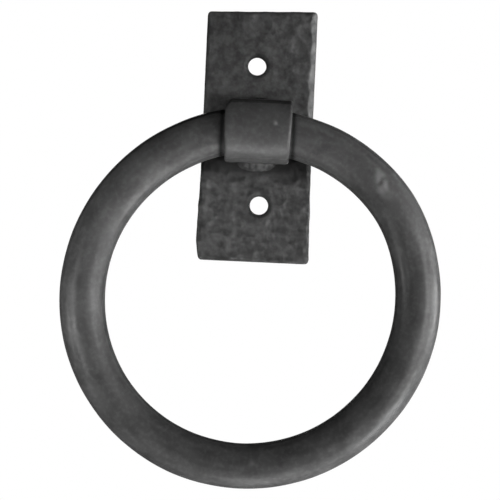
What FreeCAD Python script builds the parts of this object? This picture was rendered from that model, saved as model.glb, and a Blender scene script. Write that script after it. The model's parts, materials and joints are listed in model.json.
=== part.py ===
import FreeCAD, Part
import math
import os
import random

from FreeCAD import Vector

# Ring pull handle in black iron, for a cabinet or drawer front. A thick round ring hangs in a bent
# strap, which is welded to a hammered back plate with two screw holes.
# Seen from the front, +X is right, +Y goes into the door and +Z is up. The origin lies on the back
# of the plate, straight behind the middle of the strap. All sizes are millimetres.

# Ring: one round bar, bent to a circle and closed.
bar_d = 12.9
ring_inner_d = 82.2

# Back plate: flat bar, a little spread at its foot. The strap's middle is the height zero.
plate_t = 4.8
plate_rise = 34.8
plate_drop = 37.3
plate_top_w = 31.7
plate_foot_w = 32.8
top_skew = 1.2
spread_start = 13.0
spread_r = 250.0
corner_r = 1.1
nip_w = 1.0
nip_h = 5.5
nip_r = 5.0

# Screw holes: a pair on a line that leans a little, each with a small countersink.
hole_d = 5.3
sink_d = 7.3
sink_angle = 90.0
hole_span = 40.1
hole_lean = 3.3
hole_mid_x = 0.2
hole_mid_z = -0.95

# Strap: a flat band bent round the ring's bar, a little narrower at its lower end.
strap_t = 1.25
strap_top_w = 19.2
strap_foot_w = 18.1
strap_outer_edge = 0.5
strap_inner_edge = 0.3
strap_nip_w = 1.6
strap_nip_h = 3.6
strap_nip_r = 4.0

# Weld beads along the two feet of the strap: a thin one above and a full one below.
upper_bead_l = 10.0
upper_bead_leg = 1.2
lower_bead_l = 12.4
lower_bead_leg = 2.5

# Clearances of the bar, in the bend of the strap and over the plate.
strap_play = 0.12
plate_gap = 1.0

# Hammer work: the crown of the hammer's face, and how close and deep its blows fall.
hammer_r = 22.0
blow_pitch = 7.2
blow_stray = 1.8
blow_depth = 0.28
edge_pitch = 8.0
edge_depth = 0.65
deep_edge_depth = 1.35
flat_margin = 1.0

# Sizes that follow from these.
bar_r = bar_d / 2
inner_r = ring_inner_d / 2
ring_r = inner_r + bar_r
strap_half_w = max(strap_top_w, strap_foot_w) / 2
bar_rise = inner_r - math.sqrt(inner_r ** 2 - strap_half_w ** 2)
bend_inner_r = bar_r + bar_rise + strap_play
bend_outer_r = bend_inner_r + strap_t
front_y = -plate_t
pivot_y = front_y - plate_gap - bar_r
bead_room = max(upper_bead_leg, lower_bead_leg)

# Cutting shapes reach this far past what they cut.
beyond = plate_t


def rounded_outline(corners, radii, y):
    """A closed outline in the XZ plane at depth y: straight sides joined by tangent arcs."""
    points = [Vector(x, y, z) for x, z in corners]
    bends = []
    for i, point in enumerate(points):
        back = (points[i - 1] - point).normalize()
        ahead = (points[(i + 1) % len(points)] - point).normalize()
        half_angle = back.getAngle(ahead) / 2
        reach = radii[i] / math.tan(half_angle)
        middle = point
        if reach > 1e-6:
            inward = (back + ahead).normalize()
            middle = point + inward * (radii[i] / math.sin(half_angle) - radii[i])
        bends.append((point + back * reach, middle, point + ahead * reach))
    edges = []
    for i, (enter, middle, leave) in enumerate(bends):
        if (leave - enter).Length > 1e-6:
            edges.append(Part.Arc(enter, middle, leave).toShape())
        edges.append(Part.LineSegment(leave, bends[(i + 1) % len(bends)][0]).toShape())
    return Part.Face(Part.Wire(edges))


def plate_corners():
    """The plate's outline from its top left corner clockwise, each corner with its radius."""
    top_x = plate_top_w / 2
    foot_x = plate_foot_w / 2
    corners = [
        (-top_x, plate_rise - top_skew / 2),
        (top_x, plate_rise + top_skew / 2),
        (top_x, -spread_start),
        (foot_x, -plate_drop),
        (-foot_x + nip_w, -plate_drop),
        (-foot_x, -plate_drop + nip_h),
        (-top_x, -spread_start),
    ]
    radii = [corner_r, corner_r, spread_r, corner_r, corner_r, nip_r, spread_r]
    return corners, radii


def hole_places():
    """The two screw holes' middles on the plate, as x and z."""
    lean = math.radians(hole_lean)
    half_x = hole_span / 2 * math.sin(lean)
    half_z = hole_span / 2 * math.cos(lean)
    return [(hole_mid_x - half_x, hole_mid_z + half_z), (hole_mid_x + half_x, hole_mid_z - half_z)]


def hammer_blow(at, outward, depth):
    """The crowned hammer face, sunk this deep below a point on the plate."""
    return Part.makeSphere(hammer_r, at + outward * (hammer_r - depth))


def stays_flat(x, z, spread):
    """Whether a blow of this spread would reach the strap's seat or a screw head's seat."""
    room = spread + flat_margin
    in_strap_seat = abs(x) < strap_half_w + room and abs(z) < bend_outer_r + bead_room + room
    in_screw_seat = any(math.hypot(x - hx, z - hz) < sink_d / 2 + room for hx, hz in hole_places())
    return in_strap_seat or in_screw_seat


def face_blows():
    """Shallow dishes all over the front, in staggered rows that stray as handwork does."""
    stray = random.Random("face")
    outward = Vector(0, -1, 0)
    rows = round((plate_rise + plate_drop) / blow_pitch)
    columns = round(plate_foot_w / blow_pitch)
    blows = []
    for row in range(rows):
        for column in range(columns):
            shift = 0.25 if row % 2 else 0.75
            x = -plate_foot_w / 2 + (column + shift) * blow_pitch + stray.uniform(-blow_stray, blow_stray)
            z = -plate_drop + (row + 0.5) * blow_pitch + stray.uniform(-blow_stray, blow_stray)
            depth = blow_depth * stray.uniform(0.5, 1.0)
            spread = math.sqrt(2 * hammer_r * depth)
            if not stays_flat(x, z, spread):
                blows.append(hammer_blow(Vector(x, front_y, z), outward, depth))
    return blows


def edge_blows():
    """Blows along the front edges, which turn the sharp arris into a scalloped bevel."""
    stray = random.Random("edge")
    corners, _ = plate_corners()
    points = [Vector(x, front_y, z) for x, z in corners]
    blows = []
    for i, start in enumerate(points):
        run = points[(i + 1) % len(points)] - start
        side = Vector(-run.z, 0, run.x).normalize()
        outward = (side + Vector(0, -1, 0)).normalize()
        depth = deep_edge_depth if i == 1 else edge_depth
        count = max(1, round(run.Length / edge_pitch))
        for k in range(count):
            at = start + run * ((k + stray.uniform(0.35, 0.65)) / count)
            blows.append(hammer_blow(at, outward, depth * stray.uniform(0.75, 1.0)))
    return blows


def back_plate():
    """Flat bar with a flat back, hammered over its front and its front edges, with two screw holes."""
    plate = rounded_outline(*plate_corners(), 0.0).extrude(Vector(0, front_y, 0))
    for blow in edge_blows() + face_blows():
        plate = plate.cut(blow)
    sink_depth = (sink_d - hole_d) / 2 / math.tan(math.radians(sink_angle / 2))
    for x, z in hole_places():
        hole = Part.makeCylinder(hole_d / 2, plate_t + 2 * beyond, Vector(x, beyond, z), Vector(0, -1, 0))
        floor = Vector(x, front_y + sink_depth, z)
        sink = Part.makeCone(hole_d / 2, sink_d / 2, sink_depth, floor, Vector(0, -1, 0))
        plate = plate.cut(hole).cut(sink)
    return plate


def bend_face(radius):
    """The strap's bend filled to this radius: a half round and two legs back to the plate."""
    x = -strap_half_w - beyond
    upper_foot = Vector(x, front_y, radius)
    upper_turn = Vector(x, pivot_y, radius)
    nose = Vector(x, pivot_y - radius, 0)
    lower_turn = Vector(x, pivot_y, -radius)
    lower_foot = Vector(x, front_y, -radius)
    edges = [
        Part.LineSegment(upper_foot, upper_turn).toShape(),
        Part.Arc(upper_turn, nose, lower_turn).toShape(),
        Part.LineSegment(lower_turn, lower_foot).toShape(),
        Part.LineSegment(lower_foot, upper_foot).toShape(),
    ]
    return Part.Face(Part.Wire(edges))


def strap_blank():
    """The strap's outline seen from the front, its upper left corner nipped, as a block."""
    middle_w = (strap_top_w + strap_foot_w) / 4
    taper = (strap_top_w - strap_foot_w) / 4 / bend_outer_r
    high = bend_outer_r + beyond
    nip_z = bend_outer_r - strap_nip_h
    nip_x = -middle_w - taper * nip_z
    nip_slope = strap_nip_w / strap_nip_h
    corners = [
        (nip_x + nip_slope * (high - nip_z), high),
        (middle_w + taper * high, high),
        (middle_w - taper * high, -high),
        (-middle_w + taper * high, -high),
        (nip_x, nip_z),
    ]
    outline = rounded_outline(corners, [0, 0, 0, 0, strap_nip_r], front_y + beyond)
    return outline.extrude(Vector(0, pivot_y - bend_outer_r - front_y - 2 * beyond, 0))


def side_edges(band, radius):
    """The edges that run round the bend along the strap's sides, on its face of this radius."""
    found = []
    for edge in band.Edges:
        middle = edge.valueAt((edge.FirstParameter + edge.LastParameter) / 2)
        reach = math.hypot(min(middle.y - pivot_y, 0), middle.z)
        if abs(reach - radius) < 1e-4 and abs(middle.x) > strap_half_w / 2:
            found.append(edge)
    return found


def strap():
    """The band bent round the bar, with its long edges dressed outside and eased inside."""
    across = Vector(2 * (strap_half_w + beyond), 0, 0)
    band = bend_face(bend_outer_r).cut(bend_face(bend_inner_r)).extrude(across)
    band = band.common(strap_blank())
    band = band.makeChamfer(strap_outer_edge, side_edges(band, bend_outer_r))
    return band.makeChamfer(strap_inner_edge, side_edges(band, bend_inner_r))


def weld_bead(side, length, leg):
    """One bead in the corner of strap and plate, above for a side of 1 and below for -1.

    It is the part of a ball that stands out of that corner. The ball's middle lies equally deep behind
    both faces, so deep that the bead comes out with its length along the corner and its leg on each face.
    """
    sunk = ((length / 2) ** 2 - leg ** 2) / (2 * leg)
    ball_r = math.sqrt((length / 2) ** 2 + 2 * sunk ** 2)
    ball = Part.makeSphere(ball_r, Vector(0, front_y + sunk, side * (bend_outer_r - sunk)))
    low_z = bend_outer_r if side > 0 else -bend_outer_r - length
    corner = Part.makeBox(length, length, length, Vector(-length / 2, front_y - length, low_z))
    return ball.common(corner)


def strap_welds():
    """The two beads that hold the strap to the plate."""
    upper = weld_bead(1, upper_bead_l, upper_bead_leg)
    lower = weld_bead(-1, lower_bead_l, lower_bead_leg)
    return Part.makeCompound([upper, lower])


def ring():
    """The ring, hanging in the strap in front of the plate."""
    return Part.makeTorus(ring_r, bar_r, Vector(0, pivot_y, -ring_r), Vector(0, 1, 0))


os.makedirs("parts", exist_ok=True)
for build in (back_plate, strap, strap_welds, ring):
    shape = build()
    shape.exportStep(f"parts/{build.__name__}.step")
    print(build.__name__, len(shape.Solids), "solids", round(shape.Volume / 1000, 2), "cm3", shape.isValid())
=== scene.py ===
# %% [markdown]
# A ring pull handle in black iron. A thick round ring hangs in a bent strap, and the strap is welded to
# a hammered back plate with two screw holes. The solids come from CAD as a fixed frame. This lesson gives
# each of them a finer skin and a black finish, and lights them as a plain studio would.

# %% Load the frame
import json
import math

import bmesh
import bpy
from mathutils import Matrix, Vector, noise


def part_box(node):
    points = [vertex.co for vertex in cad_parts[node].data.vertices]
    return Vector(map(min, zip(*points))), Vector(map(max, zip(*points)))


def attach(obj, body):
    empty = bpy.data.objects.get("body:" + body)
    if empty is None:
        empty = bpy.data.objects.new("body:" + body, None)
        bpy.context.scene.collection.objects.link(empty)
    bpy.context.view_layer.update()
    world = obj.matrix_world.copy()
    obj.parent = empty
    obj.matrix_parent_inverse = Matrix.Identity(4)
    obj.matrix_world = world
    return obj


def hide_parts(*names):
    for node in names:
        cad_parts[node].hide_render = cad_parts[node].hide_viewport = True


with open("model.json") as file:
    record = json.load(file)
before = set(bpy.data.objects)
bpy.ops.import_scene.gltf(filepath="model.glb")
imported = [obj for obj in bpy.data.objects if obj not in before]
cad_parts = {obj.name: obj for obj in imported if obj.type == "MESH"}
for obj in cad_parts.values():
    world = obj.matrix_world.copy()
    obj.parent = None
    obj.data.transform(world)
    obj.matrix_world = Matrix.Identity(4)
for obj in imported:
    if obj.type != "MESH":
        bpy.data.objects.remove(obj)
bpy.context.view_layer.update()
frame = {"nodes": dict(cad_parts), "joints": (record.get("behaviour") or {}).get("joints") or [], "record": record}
MM = 0.001

# %% [markdown]
# Sizes come from the frame, so that the skins fit if the solids change. The ring's box gives its bar and
# its middle, the joint gives the pivot, and the strap's box gives the plate's front and the bend. All of
# it is in millimetres until a piece is finished, because long runs of zeros are hard to read.

# %% Measure the solids
ring_low, ring_high = (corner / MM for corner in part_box("ring"))
_, strap_high = (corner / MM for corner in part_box("strap"))
pivot = Vector(frame["joints"][0]["pos_m"]) / MM
bar_r = (ring_high.y - ring_low.y) / 2
ring_middle = (ring_low + ring_high) / 2
ring_r = (ring_high.x - ring_low.x) / 2 - bar_r
front_y = strap_high.y
bend_r = strap_high.z
print("bar", round(2 * bar_r, 2), "ring", round(2 * ring_r, 2), "bend", round(bend_r, 2))

# %% [markdown]
# The photograph looks straight at the plate from about 60 cm, at a height a little below the strap, and
# the handle leans a few degrees in the picture. A long lens gives that flat view. The camera's axes are
# written as a matrix: its right and up directions lean by the roll, and it looks along +Y.

# %% Camera
VIEW_DISTANCE = 600.0
VIEW_X = -0.63
VIEW_Z = -33.85
VIEW_ROLL = math.radians(2.6)
LENS = 150.5
SENSOR = 36.0

camera_data = bpy.data.cameras.new("camera")
camera_data.lens = LENS
camera_data.sensor_width = SENSOR
camera = bpy.data.objects.new("camera", camera_data)
bpy.context.scene.collection.objects.link(camera)
eye = Vector((VIEW_X, front_y - VIEW_DISTANCE, VIEW_Z)) * MM
view_right = Vector((math.cos(VIEW_ROLL), 0, math.sin(VIEW_ROLL)))
view_up = Vector((-math.sin(VIEW_ROLL), 0, math.cos(VIEW_ROLL)))
view_back = Vector((0, -1, 0))
view_axes = Matrix((view_right, view_up, view_back)).transposed().to_4x4()
camera.matrix_world = Matrix.Translation(eye) @ view_axes
bpy.context.scene.camera = camera
print("camera at", [round(v, 3) for v in eye])

# %% [markdown]
# Shader graphs are easier to read as sums than as boxes and wires. Value wraps one output socket, and
# Python's operators on it add Math nodes. Any other node is made by add_node from its type, its settings
# and what goes into its sockets.

# %% Shader sums
class Value:
    """One output of a node, on which +, - and * build Math nodes."""

    def __init__(self, tree, socket):
        self.tree = tree
        self.socket = socket

    def math(self, operation, first, second):
        node = self.tree.nodes.new("ShaderNodeMath")
        node.operation = operation
        for socket, value in zip(node.inputs, (first, second)):
            plug(self.tree, socket, value)
        return Value(self.tree, node.outputs[0])

    def __add__(self, other):
        return self.math("ADD", self, other)

    def __radd__(self, other):
        return self.math("ADD", other, self)

    def __sub__(self, other):
        return self.math("SUBTRACT", self, other)

    def __rsub__(self, other):
        return self.math("SUBTRACT", other, self)

    def __mul__(self, other):
        return self.math("MULTIPLY", self, other)

    def __rmul__(self, other):
        return self.math("MULTIPLY", other, self)


def plug(tree, socket, value):
    """Links a Value to a socket, or sets a plain number, colour or vector on it."""
    if isinstance(value, Value):
        tree.links.new(value.socket, socket)
    else:
        socket.default_value = value


def find_socket(sockets, name):
    """The socket with this identifier, or else with this name or number."""
    return next((s for s in sockets if s.identifier == name), None) or sockets[name]


def add_node(tree, kind, settings, inputs, output=0):
    """A node of this kind: its settings first, then its sockets; returns one output as a Value."""
    node = tree.nodes.new(kind)
    for name, value in settings.items():
        setattr(node, name, value)
    for name, value in inputs.items():
        plug(tree, find_socket(node.inputs, name), value)
    return Value(tree, find_socket(node.outputs, output))


print("shader sums ready")

# %% [markdown]
# Every finish on this handle is black iron: a thin dark coat that is partly a dull paint and partly bare,
# dark metal. One Principled shader does both, with a small metallic share. Its specular tint is black,
# so that the edges that turn away stay dark, as they do on the real coat. Finish holds the material and
# the few patterns that the finishes share.

# %% A finish
BLACK = (0, 0, 0, 1)
METAL_SHARE = 0.25


def grey(level):
    """A plain grey of this brightness as a colour."""
    return (level, level, level, 1)


class Finish:
    """A black-iron material: one Principled shader and the patterns that vary it."""

    def __init__(self, name):
        self.material = bpy.data.materials.new(name)
        self.material.use_nodes = True
        self.tree = self.material.node_tree
        self.shader = self.tree.nodes["Principled BSDF"]
        self.shader.inputs["Metallic"].default_value = METAL_SHARE
        self.shader.inputs["Specular IOR Level"].default_value = 0
        self.shader.inputs["Specular Tint"].default_value = BLACK
        self.place = self.node("ShaderNodeTexCoord", {}, {}, "Object")

    def node(self, kind, settings, inputs, output=0):
        return add_node(self.tree, kind, settings, inputs, output)

    def mottle(self, size, detail=3.0):
        """Cloudy noise with blotches of about this size in millimetres, from 0 to 1."""
        inputs = {"Vector": self.place, "Scale": 1 / (size * MM), "Detail": detail}
        return self.node("ShaderNodeTexNoise", {}, inputs, "Fac")

    def spread(self, value, low, high):
        """0 where the value is below low, 1 where it is above high, with a soft ramp between."""
        settings = {"interpolation_type": "SMOOTHSTEP"}
        inputs = {"Value": value, "From Min": low, "From Max": high}
        return self.node("ShaderNodeMapRange", settings, inputs)

    def painted(self, name):
        """A number that the modelling left on the mesh's own points."""
        return self.node("ShaderNodeAttribute", {"attribute_name": name}, {}, "Fac")

    def blend(self, factor, first, second):
        """A colour from the first at factor 0 to the second at factor 1."""
        inputs = {"Factor_Float": factor, "A_Color": first, "B_Color": second}
        return self.node("ShaderNodeMix", {"data_type": "RGBA"}, inputs, "Result_Color")

    def bump(self, height, depth):
        """Small relief of this depth in millimetres."""
        return self.node("ShaderNodeBump", {}, {"Height": height, "Distance": depth * MM}, "Normal")

    def feed(self, socket, value):
        self.tree.links.new(value.socket, self.shader.inputs[socket])


print("metallic share", METAL_SHARE)

# %% [markdown]
# The ring and the strap are smooth bar and band under a satin coat. It isn't one flat black: it is a little
# cloudy, it is speckled where the coat is thin, and its gloss changes with the clouds. Scars, such
# as the seam where the ring was closed, are paler and duller. Faint streaks run along the bar, and a painted
# shade darkens it beside the strap's edges. The modelling leaves these on the mesh's points. Fine grain breaks
# the highlights.

# %% Smooth black iron
SMOOTH_DARK = grey(0.036)
SMOOTH_LIGHT = grey(0.070)
SCAR_PALE = grey(0.17)
# The painted shade on the bar beside the strap is this near black.
STRAP_SHADE_BLACK = grey(0.012)
SMOOTH_CLOUD = 7.0
SMOOTH_FLECK = 1.3
SMOOTH_GRAIN = 2.5
GRAIN_DEPTH = 0.03
SMOOTH_GLOSS = 0.36
GLOSS_CHANGE = 0.09
CLOUD_RANGE = (0.3, 0.7)
FLECK_RANGE = (0.4, 0.75)
WORN_LEAST, WORN_SHARE = 0.15, 0.35


def smooth_iron():
    finish = Finish("smooth_black_iron")
    clouds = finish.spread(finish.mottle(SMOOTH_CLOUD), *CLOUD_RANGE)
    flecks = finish.spread(finish.mottle(SMOOTH_FLECK), *FLECK_RANGE)
    scar = finish.painted("scar")
    worn = WORN_LEAST + WORN_SHARE * clouds + WORN_SHARE * flecks + finish.painted("streak")
    coat = finish.blend(worn, SMOOTH_DARK, SMOOTH_LIGHT)
    scarred = finish.blend(scar, coat, SCAR_PALE)
    # Last, the painted shade beside the strap darkens the colour.
    finish.feed("Base Color", finish.blend(finish.painted("strap_shade"), scarred, STRAP_SHADE_BLACK))
    finish.feed("Roughness", SMOOTH_GLOSS + GLOSS_CHANGE * clouds + GLOSS_CHANGE * scar)
    finish.feed("Normal", finish.bump(finish.mottle(SMOOTH_GRAIN), GRAIN_DEPTH))
    return finish


smooth = smooth_iron()
print("finish", smooth.material.name)

# %% [markdown]
# The plate was hammered hot, so its coat is rougher and blotchier. The ridges between the hammer marks are
# rubbed a little paler, and the hollows keep their scale. Shade is painted into the coat behind the ring's
# lower half and along the lower weld bead, so it is darkest there. The modelling below leaves two numbers
# on each point of the mesh: one tells ridge from hollow, and one says how much painted shade it has.

# %% Hammered black iron
HAMMERED_DARK = grey(0.032)
HAMMERED_LIGHT = grey(0.080)
# The painted shade behind the ring and under the lower bead is this darker grey.
RING_SHADE_DARK = grey(0.018)
HAMMERED_CLOUD = 3.2
HAMMERED_FLECK = 1.4
HAMMERED_GRAIN = 1.4
HAMMERED_GRAIN_DEPTH = 0.07
HAMMERED_GLOSS = 0.38
HAMMERED_FLECK_RANGE = (0.35, 0.7)
PATCH_SHARE, RIDGE_SHARE = 0.4, 0.2


def hammered_iron():
    finish = Finish("hammered_black_iron")
    clouds = finish.spread(finish.mottle(HAMMERED_CLOUD), *CLOUD_RANGE)
    flecks = finish.spread(finish.mottle(HAMMERED_FLECK), *HAMMERED_FLECK_RANGE)
    ridge = finish.painted("ridge")
    # The number called scale is painted shade behind the ring and under the lower bead.
    scale = finish.painted("scale")
    rubbed = PATCH_SHARE * clouds + PATCH_SHARE * flecks + RIDGE_SHARE * ridge
    coat = finish.blend(rubbed, HAMMERED_DARK, HAMMERED_LIGHT)
    finish.feed("Base Color", finish.blend(scale, coat, RING_SHADE_DARK))
    finish.feed("Roughness", HAMMERED_GLOSS + GLOSS_CHANGE * clouds + GLOSS_CHANGE * (1 - ridge))
    finish.feed("Normal", finish.bump(finish.mottle(HAMMERED_GRAIN), HAMMERED_GRAIN_DEPTH))
    return finish


hammered = hammered_iron()
print("finish", hammered.material.name)

# %% [markdown]
# Weld metal takes the coat differently: it is blotchy, and each frozen ripple has its own small gloss.

# %% Weld bead finish
WELD_DARK = grey(0.022)
WELD_LIGHT = grey(0.050)
WELD_BLOTCH = 1.6
WELD_GRAIN_DEPTH = 0.04
WELD_GLOSS = 0.36


def weld_iron():
    finish = Finish("black_weld")
    blotches = finish.spread(finish.mottle(WELD_BLOTCH), *CLOUD_RANGE)
    finish.feed("Base Color", finish.blend(blotches, WELD_DARK, WELD_LIGHT))
    finish.feed("Roughness", WELD_GLOSS + GLOSS_CHANGE * blotches)
    finish.feed("Normal", finish.bump(finish.mottle(WELD_BLOTCH), WELD_GRAIN_DEPTH))
    return finish


weld = weld_iron()
print("finish", weld.material.name)

# %% [markdown]
# A finished piece is one object at the origin with its place in its mesh. It rides on the body of the
# CAD node that it stands for, and takes its finish's material. Two small helpers serve the handwork on
# every piece: a soft ramp between two levels, and a shift of all points of a mesh at once.

# %% Finishing a piece
def finish_piece(bm, name, body, node, finish):
    bmesh.ops.scale(bm, vec=(MM, MM, MM), verts=bm.verts)
    mesh = bpy.data.meshes.new(name)
    bm.to_mesh(mesh)
    bm.free()
    mesh.shade_smooth()
    mesh.materials.append(finish.material)
    piece = bpy.data.objects.new(name, mesh)
    bpy.context.scene.collection.objects.link(piece)
    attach(piece, body)
    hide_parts(node)
    triangles = sum(len(face.vertices) - 2 for face in mesh.polygons)
    print(name, triangles, "triangles on", body)


def soft_step(value, low, high):
    """0 below low, 1 above high, and a soft ramp between."""
    t = min(max((value - low) / (high - low), 0.0), 1.0)
    return t * t * (3 - 2 * t)


def shift_points(bm, move):
    """Moves every point by what move(point) says, all worked out before the first one moves."""
    bm.normal_update()
    shifts = [move(v) for v in bm.verts]
    for v, shift in zip(bm.verts, shifts):
        v.co += shift


print("helpers ready")

# %% [markdown]
# The ring is a round bar bent to a circle and closed. It could be a torus, but a spun section is as easy,
# and its steps can be chosen: a circle of the bar's size is spun once round the ring's middle and merged
# where it closes.

# %% Ring
BAR_POINTS = 88
RING_STEPS = 640
MERGE = 0.001


def spun_ring():
    bm = bmesh.new()
    bmesh.ops.create_circle(bm, segments=BAR_POINTS, radius=bar_r)
    across = Matrix.Rotation(math.pi / 2, 3, "Y")
    bmesh.ops.rotate(bm, verts=bm.verts, cent=(0, 0, 0), matrix=across)
    bmesh.ops.translate(bm, verts=bm.verts, vec=ring_middle + Vector((0, 0, ring_r)))
    bmesh.ops.spin(bm, geom=bm.verts[:] + bm.edges[:], cent=ring_middle, axis=(0, 1, 0),
                   angle=2 * math.pi, steps=RING_STEPS, use_merge=True)
    bmesh.ops.remove_doubles(bm, verts=bm.verts, dist=MERGE)
    bmesh.ops.recalc_face_normals(bm, faces=bm.faces)
    return bm


ring_mesh = spun_ring()
print("ring of", len(ring_mesh.faces), "faces")

# %% [markdown]
# A bar bent by hand isn't a perfect circle. This one is a little long from upper right to lower left and
# bulges at the upper right, so each point moves outward by an amount that depends on its angle. Where the
# strap holds it, it stays true.

# %% Out of round
OVAL = 0.35
OVAL_AT = math.radians(45)
BULGE = 0.5
BULGE_AT = math.radians(34)
BULGE_WIDTH = math.radians(17)
STRAP_CLEAR = math.radians(14)


def angle_apart(a, b):
    """The angle between two directions, from nothing to half a turn."""
    return abs((a - b + math.pi) % (2 * math.pi) - math.pi)


def ring_angle(co):
    """Where a point lies round the ring, counted from its right-hand side."""
    return math.atan2(co.z - ring_middle.z, co.x - ring_middle.x)


def out_of_round(co):
    """How far the ring stands outward of its circle here."""
    angle = ring_angle(co)
    free = soft_step(angle_apart(angle, math.pi / 2), STRAP_CLEAR, 2 * STRAP_CLEAR)
    oval = OVAL * math.cos(2 * (angle - OVAL_AT))
    bulge = BULGE * math.exp(-(angle_apart(angle, BULGE_AT) / BULGE_WIDTH) ** 2)
    return free * (oval + bulge)


print("most out of round, mm:", round(max(out_of_round(v.co) for v in ring_mesh.verts), 2))

# %% [markdown]
# Two scars stand up from the bar: the seam at the upper right, where the ring was closed, and a small one
# below. Noise breaks them into lumps. A painted shade lies on the bar in a narrow line beside each edge of the
# strap.

# %% Scars and painted shade
SCARS = [
    dict(x=35.0, z=-14.0, wide=1.3, tall=3.5, lean=math.radians(15), rise=0.10, pale=0.9),
    dict(x=2.6, z=-93.6, wide=1.5, tall=1.0, lean=0.0, rise=0.07, pale=0.25),
]
SCAR_LUMP = 1.7
SCAR_WHOLE, SCAR_BREAK = 0.6, 1.2
# Where the painted shade lies on the bar beside the strap.
STRAP_SHADE_OUT, STRAP_SHADE_WIDTH, STRAP_SHADE_LOW = 0.5, 0.7, -15.0


def scar_strength(co, scar):
    """1 in the middle of a scar on the ring's front, fading to 0 round it, with a lumpy edge."""
    if co.y > ring_middle.y:
        return 0.0
    right, up = co.x - scar["x"], co.z - scar["z"]
    across = right * math.cos(scar["lean"]) + up * math.sin(scar["lean"])
    along = up * math.cos(scar["lean"]) - right * math.sin(scar["lean"])
    far = (across / scar["wide"]) ** 2 + (along / scar["tall"]) ** 2
    lumps = SCAR_WHOLE + SCAR_BREAK * noise.noise(co / SCAR_LUMP)
    return math.exp(-far) * min(max(lumps, 0.0), 1.0)


def painted_strap_shade(co):
    """Painted shade: 1 on the bar just beside the strap's edges, fading to 0 on either hand."""
    if co.z < STRAP_SHADE_LOW:
        return 0.0
    far = (abs(co.x) - strap_high.x - STRAP_SHADE_OUT) / STRAP_SHADE_WIDTH
    return math.exp(-far * far)


print("scars at", [(scar["x"], scar["z"]) for scar in SCARS])

# %% [markdown]
# The bar's surface waves by a few hundredths of a millimetre, and long shallow flats from the rolls run
# along it. Both bend the highlights. The same noise, finer, gives the streaks of the coat. All the marks
# go on the ring together, before its points move.

# %% Handwork on the ring
WAVE, WAVE_SIZE = 0.05, 8.0
PIT, PIT_SIZE = 0.012, 1.3
FLAT, FLATS_ROUND, FLATS_ALONG = 0.07, 2.2, 1.5
STREAK, STREAKS_ROUND, STREAKS_ALONG = 0.32, 4.5, 6.0


def along_bar(co, rate_round, rate_along):
    """Noise that changes at one rate round the bar and at another along it."""
    reach = math.hypot(co.x - ring_middle.x, co.z - ring_middle.z) - ring_r
    section = Vector((reach, co.y - ring_middle.y, 0)).normalized()
    along = (ring_angle(co) - math.pi / 2) % (2 * math.pi)
    return noise.noise(section * rate_round + Vector((0, 0, along * rate_along)))


scar_layer = ring_mesh.verts.layers.float.new("scar")
# This layer holds the painted shade beside the strap.
strap_shade_layer = ring_mesh.verts.layers.float.new("strap_shade")
streak_layer = ring_mesh.verts.layers.float.new("streak")


def ring_handwork(v):
    v[strap_shade_layer] = painted_strap_shade(v.co)
    v[streak_layer] = STREAK * along_bar(v.co, STREAKS_ROUND, STREAKS_ALONG)
    outward = Vector((v.co.x - ring_middle.x, 0, v.co.z - ring_middle.z)).normalized()
    strengths = [scar_strength(v.co, scar) for scar in SCARS]
    v[scar_layer] = max(scar["pale"] * s for scar, s in zip(SCARS, strengths))
    relief = WAVE * noise.noise(v.co / WAVE_SIZE) + PIT * noise.noise(v.co / PIT_SIZE)
    relief += FLAT * along_bar(v.co, FLATS_ROUND, FLATS_ALONG)
    relief += sum(scar["rise"] * s for scar, s in zip(SCARS, strengths))
    return outward * out_of_round(v.co) + v.normal * relief


shift_points(ring_mesh, ring_handwork)
finish_piece(ring_mesh, "bent_ring", "ring", "ring", smooth)

# %% [markdown]
# The strap is one flat band, bent round the bar. Its outer edges are dressed round, wider than deep, and
# its inner ones are only eased. So its section is rounded as a thicker oblong, with two large and two
# small corners, and then pressed flat. It is run forward along the upper leg, spun half a turn round the
# pivot, and run back along the lower leg, as the band itself was bent. Then both ends are closed.

# %% Strap
STRAP_T = 1.25
STRAP_TOP_W = 19.2
STRAP_FOOT_W = 18.1
OUTER_ROUND = 0.95
INNER_ROUND = 0.3
ROUND_FLAT = 2.2
ROUND_STEPS = 8
ROUND_PROFILE = 0.5
UNIT_HALF = 0.5
STRAP_CUTS = 89
BEND_STEPS = 120
LEG_STEPS = 30
strap_half = (STRAP_TOP_W + STRAP_FOOT_W) / 4


def strap_section():
    """The oblong at the upper foot, as a closed loop of edges in a new bmesh."""
    bm = bmesh.new()
    bmesh.ops.create_grid(bm, x_segments=1, y_segments=1, size=UNIT_HALF)
    bmesh.ops.scale(bm, vec=(2 * strap_half, ROUND_FLAT * STRAP_T, 1), verts=bm.verts)
    outer = [v for v in bm.verts if v.co.y > 0]
    inner = [v for v in bm.verts if v.co.y < 0]
    for corners, offset in ((outer, OUTER_ROUND), (inner, INNER_ROUND)):
        bmesh.ops.bevel(bm, geom=corners, affect="VERTICES", offset=offset, segments=ROUND_STEPS,
                        profile=ROUND_PROFILE, material=-1)
    bmesh.ops.scale(bm, vec=(1, 1 / ROUND_FLAT, 1), verts=bm.verts)
    bmesh.ops.delete(bm, geom=bm.faces[:], context="FACES_ONLY")
    long_edges = [e for e in bm.edges if e.calc_length() > strap_half]
    bmesh.ops.subdivide_edges(bm, edges=long_edges, cuts=STRAP_CUTS)
    upright = Matrix.Rotation(math.pi / 2, 3, "X")
    bmesh.ops.rotate(bm, verts=bm.verts, cent=(0, 0, 0), matrix=upright)
    bmesh.ops.translate(bm, verts=bm.verts, vec=(0, front_y, bend_r - STRAP_T / 2))
    return bm


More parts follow.
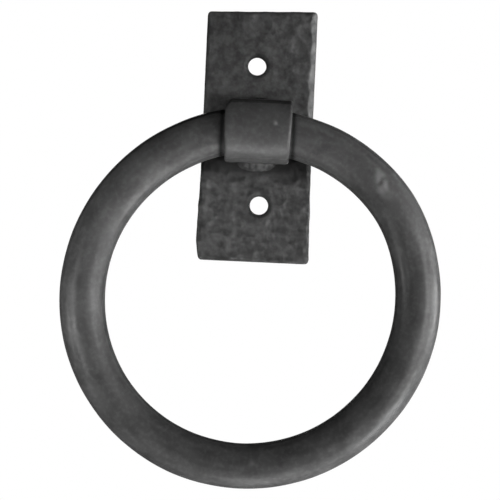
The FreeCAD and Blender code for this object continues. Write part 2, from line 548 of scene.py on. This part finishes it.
def run_leg(bm, loop, length):
    """Extrudes a loop of edges straight along Y in even steps, and returns the last loop."""
    for _ in range(LEG_STEPS):
        made = bmesh.ops.extrude_edge_only(bm, edges=loop)["geom"]
        points = [g for g in made if isinstance(g, bmesh.types.BMVert)]
        bmesh.ops.translate(bm, verts=points, vec=(0, length / LEG_STEPS, 0))
        loop = [e for e in made if isinstance(e, bmesh.types.BMEdge) and all(v in points for v in e.verts)]
    return loop


def bent_strap():
    bm = strap_section()
    loop = run_leg(bm, bm.edges[:], pivot.y - front_y)
    turning = loop + list({v for e in loop for v in e.verts})
    turned = bmesh.ops.spin(bm, geom=turning, cent=pivot, axis=(1, 0, 0), angle=math.pi, steps=BEND_STEPS)
    loop = [g for g in turned["geom_last"] if isinstance(g, bmesh.types.BMEdge)]
    run_leg(bm, loop, front_y - pivot.y)
    bmesh.ops.holes_fill(bm, edges=[e for e in bm.edges if e.is_boundary], sides=0)
    bmesh.ops.remove_doubles(bm, verts=bm.verts, dist=MERGE)
    bmesh.ops.recalc_face_normals(bm, faces=bm.faces)
    return bm


strap_mesh = bent_strap()
print("strap of", len(strap_mesh.faces), "faces")

# %% [markdown]
# The band is a little narrower below than above, and its upper left corner was nipped off. So each point
# is drawn in towards the strap's sides at its height. A drop of weld spatter sits on its front, and its
# surface waves slightly.

# %% Handwork on the strap
STRAP_NIP_W = 1.6
STRAP_NIP_H = 3.6
STRAP_NIP_SOFT = 0.8
STRAP_WAVE, STRAP_WAVE_SIZE = 0.035, 5.0
DROP_X, DROP_Z = 4.75, 1.97
DROP_R, DROP_RISE, DROP_PALE = 0.6, 0.35, 0.5


def strap_sides(z):
    """Where the strap's left and right sides lie at this height."""
    half = strap_half + (STRAP_TOP_W - STRAP_FOOT_W) / 4 * z / bend_r
    over = z - (bend_r - STRAP_NIP_H)
    nipped = (over + math.hypot(over, STRAP_NIP_SOFT)) / 2 * STRAP_NIP_W / STRAP_NIP_H
    return nipped - half, half


def draw_in(v):
    left, right = strap_sides(v.co.z)
    x = (left + right) / 2 + v.co.x / strap_half * (right - left) / 2
    return Vector((x - v.co.x, 0, 0))


drop_layer = strap_mesh.verts.layers.float.new("scar")


def strap_handwork(v):
    relief = STRAP_WAVE * noise.noise(v.co / STRAP_WAVE_SIZE)
    if v.normal.y < 0:
        far = math.hypot(v.co.x - DROP_X, v.co.z - DROP_Z) / DROP_R
        drop = math.exp(-far * far)
        v[drop_layer] = DROP_PALE * drop
        relief += DROP_RISE * drop
    return v.normal * relief


shift_points(strap_mesh, draw_in)
shift_points(strap_mesh, strap_handwork)
finish_piece(strap_mesh, "bent_strap", "base", "strap", smooth)

# %% [markdown]
# The plate and the weld beads keep the forms that CAD gave them. A copy of the node's mesh is merged and
# given an even skin of small squares by voxel remeshing, so that hammer marks and ripples have points to
# move. Building the plate again from a grid would lose the CAD's own blows, so the copy is better. It is
# made at millimetre size, where the remesher's steps are ordinary numbers.

# %% A fine skin
SOFTEN_BY = 0.5
SKIN_ROUNDS = 2


def soften(bm, points, rounds):
    """Draws these points halfway towards their neighbours, as often as rounds says."""
    for _ in range(rounds):
        bmesh.ops.smooth_vert(bm, verts=points, factor=SOFTEN_BY,
                              use_axis_x=True, use_axis_y=True, use_axis_z=True)


def fine_skin(node, voxel):
    """The CAD node's shape as a bmesh of small even faces with softened edges."""
    bm = bmesh.new()
    bm.from_mesh(frame["nodes"][node].data)
    bmesh.ops.scale(bm, vec=(1 / MM, 1 / MM, 1 / MM), verts=bm.verts)
    bmesh.ops.remove_doubles(bm, verts=bm.verts, dist=MERGE)
    mesh = bpy.data.meshes.new("blank")
    bm.to_mesh(mesh)
    bm.free()
    blank = bpy.data.objects.new("blank", mesh)
    bpy.context.scene.collection.objects.link(blank)
    remesh = blank.modifiers.new("skin", "REMESH")
    remesh.mode = "VOXEL"
    remesh.voxel_size = voxel
    remeshed = blank.evaluated_get(bpy.context.evaluated_depsgraph_get())
    skin = bpy.data.meshes.new_from_object(remeshed)
    bm = bmesh.new()
    bm.from_mesh(skin)
    bpy.data.objects.remove(blank)
    bpy.data.meshes.remove(mesh)
    bpy.data.meshes.remove(skin)
    soften(bm, bm.verts, SKIN_ROUNDS)
    return bm


print("skins are softened", SKIN_ROUNDS, "times")

# %% [markdown]
# The hammer struck the plate's outline too. So the points in a band along it are softened some more.

# %% Skin of the plate
PLATE_VOXEL = 0.3
EDGE_BAND = 1.5
EDGE_ROUNDS = 6
plate_low, plate_high = (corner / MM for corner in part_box("back_plate"))
plate_mesh = fine_skin("back_plate", PLATE_VOXEL)


def near_edge(co):
    """Whether a point lies in the band along the plate's outline that the hammer has rounded."""
    inside_x = plate_low.x + EDGE_BAND < co.x < plate_high.x - EDGE_BAND
    inside_z = plate_low.z + EDGE_BAND < co.z < plate_high.z - EDGE_BAND
    return not (inside_x and inside_z)


edge_points = [v for v in plate_mesh.verts if near_edge(v.co)]
soften(plate_mesh, edge_points, EDGE_ROUNDS)
print("plate skin of", len(plate_mesh.faces), "faces,", len(edge_points), "points along its edges")

# %% [markdown]
# The plate is flat at the back, under the strap and round the screw holes, so the hammer marks have to fade
# out there. The record's bolt pattern says where the holes are and how far apart. Their line leans a little.

# %% Room for the hammer
BACK_CLEAR = (0.8, 2.5)
SEAT_SOFT = 2.0
SINK_R = 3.65
HOLE_LEAN = math.radians(3.3)


def hole_middles():
    """The two screw holes' middles, from the record's bolt pattern and the line's lean."""
    pattern = next(m for m in frame["record"]["mounts"] if m["name"] == "screw_holes")
    middle = Vector(pattern["pos_m"]) / MM
    reach = Vector((-math.sin(HOLE_LEAN), 0, math.cos(HOLE_LEAN))) * pattern["dims"]["pcd_mm"] / 2
    return middle + reach, middle - reach


holes = hole_middles()


def hammer_room(co):
    """1 where the plate may be hammered, 0 at the back, under the strap and at the screw holes."""
    from_back = soft_step(-co.y, *BACK_CLEAR)
    from_strap = soft_step(max(abs(co.x) - STRAP_TOP_W / 2, abs(co.z) - bend_r - SEAT_SOFT), 0, SEAT_SOFT)
    near_hole = min(math.hypot(co.x - hole.x, co.z - hole.z) for hole in holes)
    return from_back * from_strap * soft_step(near_hole, SINK_R, SINK_R + SEAT_SOFT)


print("screw holes at", [(round(hole.x, 2), round(hole.z, 2)) for hole in holes])

# %% [markdown]
# Shade is painted on the front behind the ring's lower half. It fades below with a ragged edge, and a little
# of it covers the foot. A painted shadow line follows the lower weld bead, whose size comes from the beads' box.

# %% Painted shade on the plate
RING_SHADE_REACH, RING_SHADE_LOW = 7.0, 0.2
RING_SHADE_RAGGED, RING_SHADE_RAGGED_SIZE = 2.0, 4.0
# The painted shadow line under the lower weld bead: its spread, its darkness and how it fades at the ends.
BEAD_SHADOW_SPREAD, BEAD_SHADOW_DARK, BEAD_SHADOW_ENDS = 0.8, 0.6, 4
bead_low, bead_high = (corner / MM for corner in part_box("strap_welds"))


def bead_shadow_line(co):
    """Painted shadow: 1 on the line where the lower bead meets the plate, fading to 0 within a millimetre or so.
    """
    across = min(abs(co.x) / bead_high.x, 1.0)
    drop = (-bead_low.z - bend_r) * (1 - across * across)
    far = (-co.z - bend_r - drop) / BEAD_SHADOW_SPREAD
    return (1 - across ** BEAD_SHADOW_ENDS) * math.exp(-far * far)


def painted_ring_shade(co):
    """Painted shade: 1 on the front behind the ring's lower half, fading below it to a little over the foot."""
    edge = bend_r + RING_SHADE_RAGGED * noise.noise(co / RING_SHADE_RAGGED_SIZE)
    fade = RING_SHADE_LOW + (1 - RING_SHADE_LOW) * (1 - soft_step(-co.z, edge, edge + RING_SHADE_REACH))
    band = soft_step(-co.z, -bar_r, bar_r) * fade
    return soft_step(-co.y, *BACK_CLEAR) * max(band, BEAD_SHADOW_DARK * bead_shadow_line(co))


print("lower bead reaches down to", round(bead_low.z, 2), "mm")

# %% [markdown]
# The CAD plate has the broad blows. Between them the real plate is covered with small overlapping marks,
# deeper below the strap than above it. Voronoi cells give that pattern: the squared distance to the
# nearest cell point is a field of round dishes that meet in ridges, and a tanh rounds the ridges off. The
# cells are stretched along a diagonal, as the marks are, and bent by noise so that no two are alike.

# %% Hammer marks on the plate
MARK_SIZE = 2.6
MARK_STRETCH = 1.4
MARK_LEAN = Matrix.Rotation(math.radians(30), 3, "Y")
MARK_BEND, MARK_BEND_SIZE = 0.8, 4.0
FAR_APART = Vector((31.7, 0, 0))
MARK_DEPTH_TOP, MARK_DEPTH_FOOT, DEPTH_CHANGE = 0.32, 1.45, 15.0
MARK_LEVEL, MARK_TOP = 0.45, 0.75
EDGE_SHARE, FRONT_FACING = 0.25, (0.2, 0.9)
ROUGH, ROUGH_SIZE, ROUGH_LAYERS = 0.05, 1.2, (1.0, 2.0, 3)
ridge_layer = plate_mesh.verts.layers.float.new("ridge")
# The layer called scale holds painted shade behind the ring and under the lower bead.
ring_shade_layer = plate_mesh.verts.layers.float.new("scale")


def mark_bend(co):
    """A small smooth shift, from three readings of one noise far apart."""
    return MARK_BEND * Vector([noise.noise(co / MARK_BEND_SIZE + k * FAR_APART) for k in range(3)])


def hammer_marks(v):
    leaning = MARK_LEAN @ (v.co + mark_bend(v.co))
    cell = Vector((leaning.x, leaning.y, leaning.z / MARK_STRETCH)) / MARK_SIZE
    nearest = noise.voronoi(cell)[0][0]
    dish = MARK_TOP * math.tanh(nearest * nearest / MARK_TOP)
    low = soft_step(-v.co.z, -DEPTH_CHANGE, DEPTH_CHANGE)
    depth = MARK_DEPTH_TOP + (MARK_DEPTH_FOOT - MARK_DEPTH_TOP) * low
    room = hammer_room(v.co)
    room *= EDGE_SHARE + (1 - EDGE_SHARE) * soft_step(-v.normal.y, *FRONT_FACING)
    # Painted shade behind the ring and along the lower bead.
    v[ring_shade_layer] = painted_ring_shade(v.co)
    v[ridge_layer] = room * (dish / MARK_TOP)
    rough = ROUGH * noise.fractal(v.co / ROUGH_SIZE, *ROUGH_LAYERS)
    return v.normal * room * (depth * (dish - MARK_LEVEL) + rough)


shift_points(plate_mesh, hammer_marks)
finish_piece(plate_mesh, "hammered_plate", "base", "back_plate", hammered)

# %% [markdown]
# A weld bead is laid in short pools that overlap, so it has ripples across its length. The ripples are a
# row of low arches, and noise keeps them uneven. The CAD bead tapers evenly to its ends. The real lower
# one is fuller there, so its points are drawn out from the corner of strap and plate.

# %% Weld beads
BEAD_VOXEL = 0.14
BEAD_FULL = 0.5
RIPPLE, RIPPLE_PITCH = 0.10, 2.6
BEAD_STRAY, BEAD_STRAY_SIZE = 0.10, 2.2


def fuller_ends(v):
    """Draws the lower bead out from its corner, most at about seven tenths of its half length."""
    if v.co.z > 0:
        return Vector((0, 0, 0))
    t = min(abs(v.co.x) / bead_high.x, 1.0)
    out_of_corner = Vector((0, v.co.y - front_y, v.co.z + bend_r))
    return out_of_corner * BEAD_FULL * t * t


def bead_ripples(v):
    stray = noise.noise(v.co / BEAD_STRAY_SIZE)
    arch = abs(math.sin(math.pi * (v.co.x + stray) / RIPPLE_PITCH))
    return v.normal * (RIPPLE * (arch - 1) + BEAD_STRAY * stray)


bead_mesh = fine_skin("strap_welds", BEAD_VOXEL)
shift_points(bead_mesh, fuller_ends)
shift_points(bead_mesh, bead_ripples)
finish_piece(bead_mesh, "weld_beads", "base", "strap_welds", weld)

# %% [markdown]
# The handle hangs in front of plain white. The world is white to the eye and in reflections, and dim as
# light, so that the lamps do the modelling. Light Path tells the two apart. The floor is a pale square
# far below, out of the picture. It is nearly white to the eye in the same way, and keeps a faint shadow.

# %% Floor and world
FLOOR_Z = -900.0
FLOOR_HALF = 6000.0
PALE = (0.8, 0.8, 0.8, 1)
WHITE = (1, 1, 1, 1)
FLOOR_WHITE = 0.85
AMBIENT = 0.05


def seen_rays(tree):
    """1 for what the eye or a reflection sees, and 0 for light that falls on things."""
    names = ("Is Camera Ray", "Is Glossy Ray", "Is Transmission Ray")
    seen, mirrored, passed = (add_node(tree, "ShaderNodeLightPath", {}, {}, name) for name in names)
    return seen + mirrored + passed


def pale_floor():
    bm = bmesh.new()
    bmesh.ops.create_grid(bm, x_segments=1, y_segments=1, size=FLOOR_HALF * MM)
    bmesh.ops.translate(bm, verts=bm.verts, vec=(0, 0, FLOOR_Z * MM))
    mesh = bpy.data.meshes.new("floor")
    bm.to_mesh(mesh)
    bm.free()
    material = bpy.data.materials.new("pale_floor")
    material.use_nodes = True
    tree = material.node_tree
    matt = add_node(tree, "ShaderNodeBsdfDiffuse", {}, {"Color": PALE})
    white = add_node(tree, "ShaderNodeEmission", {}, {"Color": WHITE})
    mixed = {"Fac": seen_rays(tree) * FLOOR_WHITE, "Shader": matt, "Shader_001": white}
    surface = add_node(tree, "ShaderNodeMixShader", {}, mixed)
    plug(tree, tree.nodes["Material Output"].inputs["Surface"], surface)
    mesh.materials.append(material)
    floor = bpy.data.objects.new("floor", mesh)
    bpy.context.scene.collection.objects.link(floor)


def white_world():
    world = bpy.data.worlds.new("studio")
    world.use_nodes = True
    bpy.context.scene.world = world
    tree = world.node_tree
    background = tree.nodes["Background"]
    background.inputs["Color"].default_value = WHITE
    plug(tree, background.inputs["Strength"], AMBIENT + seen_rays(tree) * (1 - AMBIENT))


pale_floor()
white_world()
print("world", AMBIENT, "as light")

# %% [markdown]
# In the photograph the right-hand sides are bright, the left-hand sides carry narrower streaks, and
# what faces up or to the upper left is dark. So five broad soft lamps stand on the right and below. On the
# left a broad lamp would also fill the shade inside the ring, at the lower right. Three small lamps with a
# grid, which keeps the light in a cone, draw the streaks instead. One more broad lamp stands behind and
# above, where the photograph doesn't show it, and lights the back and the top for other views. Each lamp
# is placed by two angles as seen from what it aims at: how far it stands off the line of view, and where
# it stands round the picture, counted clockwise from the right. Together they light the plate's front so
# that white paper there would just look white.

# %% Lamps
BROAD = dict(aim=ring_middle, distance=650.0, size=200.0, cone=180)
GRIDDED = dict(distance=450.0, size=50.0, cone=16)
UPPER_LEFT_X, UPPER_LEFT_Z = -30.0, -12.0
left_side = ring_middle - Vector((ring_r, 0, 0))
upper_left = Vector((UPPER_LEFT_X, ring_middle.y, UPPER_LEFT_Z))
LAMPS = {
    "front_right": dict(BROAD, off=48, clock=0, power=3.2),
    "low_right": dict(BROAD, off=82, clock=40, power=5.5),
    "far_right": dict(BROAD, off=92, clock=0, power=7.75),
    "below": dict(BROAD, off=72, clock=85, power=2.6),
    "far_below": dict(BROAD, off=92, clock=85, power=2.0),
    "left_streak": dict(GRIDDED, aim=left_side, off=45, clock=165, power=0.0147),
    "left_edge": dict(GRIDDED, aim=left_side, off=75, clock=165, power=0.0110),
    "inner_streak": dict(GRIDDED, aim=upper_left, off=60, clock=0, power=0.0102),
    "behind": dict(BROAD, off=155, clock=255, power=6.0),
}


def soft_lamp(name, aim, off, clock, distance, size, cone, power):
    data = bpy.data.lights.new(name, "AREA")
    data.size = size * MM
    data.spread = math.radians(cone)
    data.energy = power
    tilt = math.radians(off)
    turn = math.radians(clock)
    away = Vector((math.sin(tilt) * math.cos(turn), -math.cos(tilt), -math.sin(tilt) * math.sin(turn)))
    facing = away.to_track_quat("Z", "Y").to_matrix().to_4x4()
    lamp = bpy.data.objects.new(name, data)
    bpy.context.scene.collection.objects.link(lamp)
    lamp.matrix_world = Matrix.Translation((aim + away * distance) * MM) @ facing
    lamp.visible_camera = False


for lamp_name, lamp_settings in LAMPS.items():
    soft_lamp(lamp_name, **lamp_settings)
bpy.context.scene.view_settings.view_transform = "Standard"
print("lamps", list(LAMPS))
